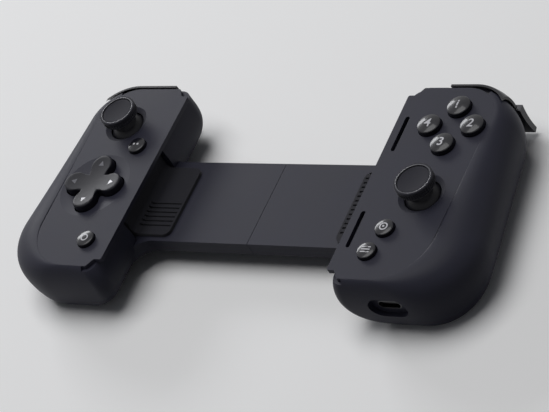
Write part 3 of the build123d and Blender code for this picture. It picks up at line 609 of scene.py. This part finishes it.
def coil_spring(side):
    low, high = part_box(f"{side}_spring")
    wire = 0.15 * mm
    turns = 28
    steps = 14
    centre_y, centre_z = (low[1] + high[1]) / 2, (low[2] + high[2]) / 2
    winding = (high[1] - low[1]) / 2 - wire
    spots = []
    for index in range(turns * steps + 1):
        share = index / (turns * steps)
        angle = 2 * math.pi * index / steps
        x = low[0] + wire + (high[0] - low[0] - 2 * wire) * share
        y = centre_y + winding * math.cos(angle)
        z = centre_z + winding * math.sin(angle)
        spots.append(Vector((x, y, z)))
    coil = tube_along(f"{side}_spring_coil", spots, wire, None, "steel")
    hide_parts(f"{side}_spring")
    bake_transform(coil)


coil_spring("left")
coil_spring("right")

# Flexible cable, folded back on itself inside the carriage so that its ends can part
cable_half_thickness = 0.125 * mm


def ribbon(name, route, body):
    low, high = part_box("flex_cable")
    width = high[1] - low[1]
    middle_y = (low[1] + high[1]) / 2
    bm = bmesh.new()
    for start, end in zip(route, route[1:]):
        along, level = sorted((start[0], end[0])), sorted((start[1], end[1]))
        length = along[1] - along[0] + 2 * cable_half_thickness
        height = level[1] - level[0] + 2 * cable_half_thickness
        place = Matrix.Translation((sum(along) / 2, middle_y, sum(level) / 2))
        bmesh.ops.create_cube(bm, size=1, matrix=place @ Matrix.Diagonal((length, width, height, 1)))
    made = piece_from(name, bm, body, "ribbon", smooth=False)
    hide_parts("flex_cable")
    return made


def folded_cable():
    low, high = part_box("flex_cable")
    fold_step = 1.0 * mm
    fold = 18 * mm
    rise = 59.3 * mm
    end = high[0] - cable_half_thickness
    top = high[2] - cable_half_thickness
    levels = [low[2] + cable_half_thickness + fold_step * index for index in range(3)]
    left_route = ((-end, top), (-rise, top), (-rise, levels[0]), (fold, levels[0]))
    fold_route = ((fold, levels[0]), (fold, levels[1]), (-fold, levels[1]), (-fold, levels[2]))
    right_route = ((-fold, levels[2]), (rise, levels[2]), (rise, top), (end, top))
    left_run = ribbon("cable_left_run", left_route, None)
    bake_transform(left_run)
    ribbon("cable_fold", fold_route, "carriage")
    right_run = ribbon("cable_right_run", right_route, None)
    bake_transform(right_run)


folded_cable()


# Floor, light and background. What is seen is pale, and what lights the part from below is dim.
def seen_directly(tree):
    rays = tree.nodes.new("ShaderNodeLightPath")
    total = rays.outputs["Is Camera Ray"]
    for kind in ("Is Glossy Ray", "Is Transmission Ray"):
        either = tree.nodes.new("ShaderNodeMath")
        either.operation = "MAXIMUM"
        tree.links.new(total, either.inputs[0])
        tree.links.new(rays.outputs[kind], either.inputs[1])
        total = either.outputs["Value"]
    return total


floor_material, floor_tree, floor_shader = new_material("floor")
floor_colour = floor_tree.nodes.new("ShaderNodeMix")
floor_colour.data_type = "RGBA"
floor_colour.inputs["A"].default_value = (0.1, 0.1, 0.1, 1)
floor_colour.inputs["B"].default_value = (0.95, 0.95, 0.95, 1)
floor_tree.links.new(seen_directly(floor_tree), floor_colour.inputs["Factor"])
floor_tree.links.new(floor_colour.outputs["Result"], floor_shader.inputs["Base Color"])
floor_shader.inputs["Roughness"].default_value = 0.9
floor_shader.inputs["Specular IOR Level"].default_value = 0.0
floor_mesh = bpy.data.meshes.new("floor")
floor_reach = 3.0
floor_corners = [(x * floor_reach, y * floor_reach, 0) for x, y in ((-1, -1), (1, -1), (1, 1), (-1, 1))]
floor_mesh.from_pydata(floor_corners, [], [(0, 1, 2, 3)])
floor_mesh.materials.append(floor_material)
floor = bpy.data.objects.new("floor", floor_mesh)
bpy.context.scene.collection.objects.link(floor)

world = bpy.data.worlds.new("world")
bpy.context.scene.world = world
world.use_nodes = True
world_nodes = world.node_tree.nodes
world_links = world.node_tree.links
soft_light = world_nodes["Background"]
soft_light.inputs["Color"].default_value = (0.9, 0.93, 1.0, 1)
soft_light.inputs["Strength"].default_value = 0.07
white = world_nodes.new("ShaderNodeBackground")
white.inputs["Color"].default_value = (1, 1, 1, 1)
white.inputs["Strength"].default_value = 1.0
chooser = world_nodes.new("ShaderNodeMixShader")
world_links.new(seen_directly(world.node_tree), chooser.inputs["Fac"])
world_links.new(soft_light.outputs["Background"], chooser.inputs[1])
world_links.new(white.outputs["Background"], chooser.inputs[2])
world_links.new(chooser.outputs["Shader"], world_nodes["World Output"].inputs["Surface"])


def softbox(name, place, target, size, power, colour=(1, 1, 1)):
    light = bpy.data.lights.new(name, "AREA")
    light.shape = "RECTANGLE"
    light.size = size[0]
    light.size_y = size[1]
    light.energy = power
    light.color = colour
    lamp = bpy.data.objects.new(name, light)
    bpy.context.scene.collection.objects.link(lamp)
    aim = (Vector(target) - Vector(place)).to_track_quat("-Z", "Y")
    lamp.matrix_world = Matrix.Translation(place) @ aim.to_matrix().to_4x4()


softbox("overhead", place=(-0.15, 0.1, 1.25), target=(0, 0, 0), size=(0.9, 0.9), power=10.0)
softbox(
    "back_left",
    place=(-1.05, 0.8, 0.56),
    target=(0, 0, 0.02),
    size=(0.6, 0.3),
    power=5.8,
    colour=(0.96, 0.97, 1.0),
)
